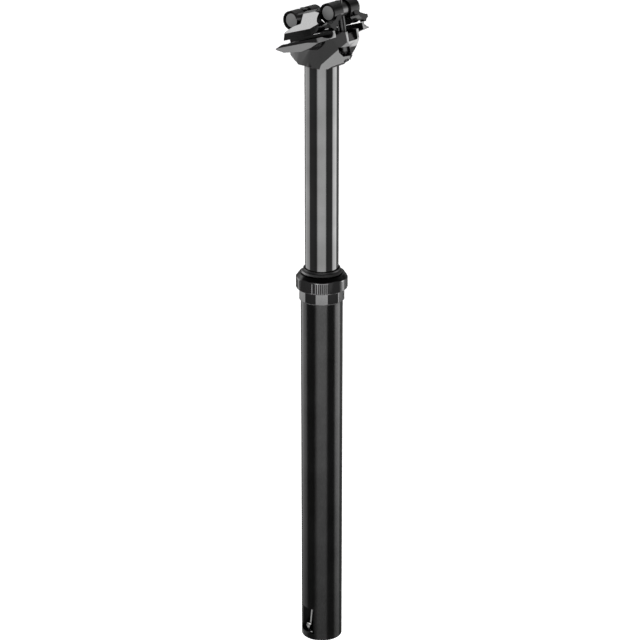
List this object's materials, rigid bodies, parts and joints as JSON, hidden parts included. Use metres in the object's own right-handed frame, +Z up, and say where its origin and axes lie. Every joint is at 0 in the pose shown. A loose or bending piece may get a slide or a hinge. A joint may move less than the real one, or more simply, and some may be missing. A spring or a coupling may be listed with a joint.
{
  "type": "dropper seatpost",
  "caption": "Telescopic sprung bicycle seatpost with a cable lever in its foot, a sliding inner tube and a tilting two-bolt clamp for saddle rails.",
  "frame": {"origin": "on the post's axis at the foot of the outer tube", "axes": "+Z up along the post's axis, +X towards the front of the bicycle, +Y to its left"},
  "size_m": [0.053, 0.0582, 0.5096],
  "materials": {
    "outer_black": "satin anodised black",
    "foot_black": "matt black anodising",
    "gloss_black": "polished black hard anodising",
    "collar_black": "gloss black anodising",
    "head_black": "forged and machined, gloss black anodising",
    "clamp_black": "machined, gloss black anodising",
    "bare_alloy": "machined",
    "steel": "machined steel",
    "black_steel": "black zinc",
    "nut_alloy": "machined, grey anodised",
    "rubber_black": "matt",
    "bushing": "filled bearing plastic",
    "foam": "oiled foam",
    "key_brass": "drawn"
  },
  "bodies": {
    "outer_post": {"outer_tube": "outer_black", "collar_base_ring": "collar_black", "collar_nut": "collar_black", "wiper_seal": "rubber_black", "foam_ring": "foam", "upper_bushing": "bushing", "foot_mount": "foot_black", "foot_screws": "steel", "housing_stop": "bare_alloy", "lever_pivot_pin": "steel", "lever_return_spring": "steel", "cartridge_rod": "steel", "main_piston": "bare_alloy", "piston_seal": "rubber_black", "rod_nut": "steel", "bottom_out_bumper": "rubber_black"},
    "inner_post": {"inner_tube": "gloss_black", "seat_head": "head_black", "key_pins": "key_brass", "lower_bushing": "bushing", "cartridge_body": "bare_alloy", "cartridge_seal_head": "bare_alloy", "rod_seal": "rubber_black", "cartridge_retainer_nut": "bare_alloy", "top_out_bumper": "rubber_black", "cartridge_top_cap": "bare_alloy", "fill_valve": "key_brass", "valve_cap": "bare_alloy"},
    "floating": {"floating_piston": "bare_alloy", "floating_piston_seal": "rubber_black"},
    "lever": {"actuator_lever": "steel", "lever_link_pin": "steel"},
    "link": {"cable_link": "steel", "cable_barrel": "black_steel", "cable_grub_screw": "black_steel"},
    "valve": {"valve_pin": "steel"},
    "clamp": {"lower_cradle": "clamp_black", "upper_clamp_left": "clamp_black", "upper_clamp_right": "clamp_black"},
    "front_nut": {"front_barrel_nut": "nut_alloy"},
    "rear_nut": {"rear_barrel_nut": "nut_alloy"},
    "front_bolt_set": {"front_bolt": "black_steel", "front_washer": "steel"},
    "rear_bolt_set": {"rear_bolt": "black_steel", "rear_washer": "steel"}
  },
  "joints": [
    {"name": "post_slide", "type": "slide", "parent": "outer_post", "child": "inner_post", "axis": [0, 0, 1], "range_m": [-0.15, 0], "stiffness_N_per_m": 150, "springref_m": 0.4},
    {"name": "floating_piston_slide", "type": "slide", "parent": "inner_post", "child": "floating", "axis": [0, 0, 1], "range_m": [0, 0.0416]},
    {"name": "lever_swing", "type": "hinge", "parent": "outer_post", "child": "lever", "pos_m": [0.00063, 0.00252, 0.031], "axis": [-0.9703, 0.2419, 0], "range_deg": [0, 12]},
    {"name": "cable_link_slide", "type": "slide", "parent": "outer_post", "child": "link", "axis": [0, 0, -1], "range_m": [0, 0.00117], "stiffness_N_per_m": 500},
    {"name": "valve_pin_slide", "type": "slide", "parent": "outer_post", "child": "valve", "axis": [0, 0, 1], "range_m": [0, 0.00053]},
    {"name": "clamp_tilt", "type": "hinge", "parent": "inner_post", "child": "clamp", "pos_m": [-0.0032, 0, 0.4855], "axis": [0, 1, 0], "range_deg": [-7, 7]},
    {"name": "front_bolt_swing", "type": "hinge", "parent": "inner_post", "child": "front_bolt_set", "pos_m": [0.0193, 0, 0.4673], "axis": [0, 1, 0], "range_deg": [-2.5, 2.5]},
    {"name": "rear_bolt_swing", "type": "hinge", "parent": "inner_post", "child": "rear_bolt_set", "pos_m": [-0.0202, 0, 0.4795], "axis": [0, 1, 0], "range_deg": [-5, 5]},
    {"name": "front_nut_turn", "type": "hinge", "parent": "clamp", "child": "front_nut", "pos_m": [0.0168, 0, 0.49282], "axis": [0, 1, 0], "range_deg": [-6, 6]},
    {"name": "rear_nut_turn", "type": "hinge", "parent": "clamp", "child": "rear_nut", "pos_m": [-0.01599, 0, 0.50253], "axis": [0, 1, 0], "range_deg": [-4, 4]}
  ],
  "couplings": [
    {"joint": "floating_piston_slide", "follows": "post_slide", "ratio": -0.277},
    {"joint": "lever_swing", "follows": "cable_link_slide", "rad_per_m": 179.2},
    {"joint": "valve_pin_slide", "follows": "cable_link_slide", "ratio": 0.448},
    {"joint": "front_bolt_swing", "follows": "clamp_tilt", "ratio": 0.2082},
    {"joint": "rear_bolt_swing", "follows": "clamp_tilt", "ratio": 0.6174},
    {"joint": "front_nut_turn", "follows": "clamp_tilt", "ratio": -0.7918},
    {"joint": "rear_nut_turn", "follows": "clamp_tilt", "ratio": -0.3826}
  ]
}
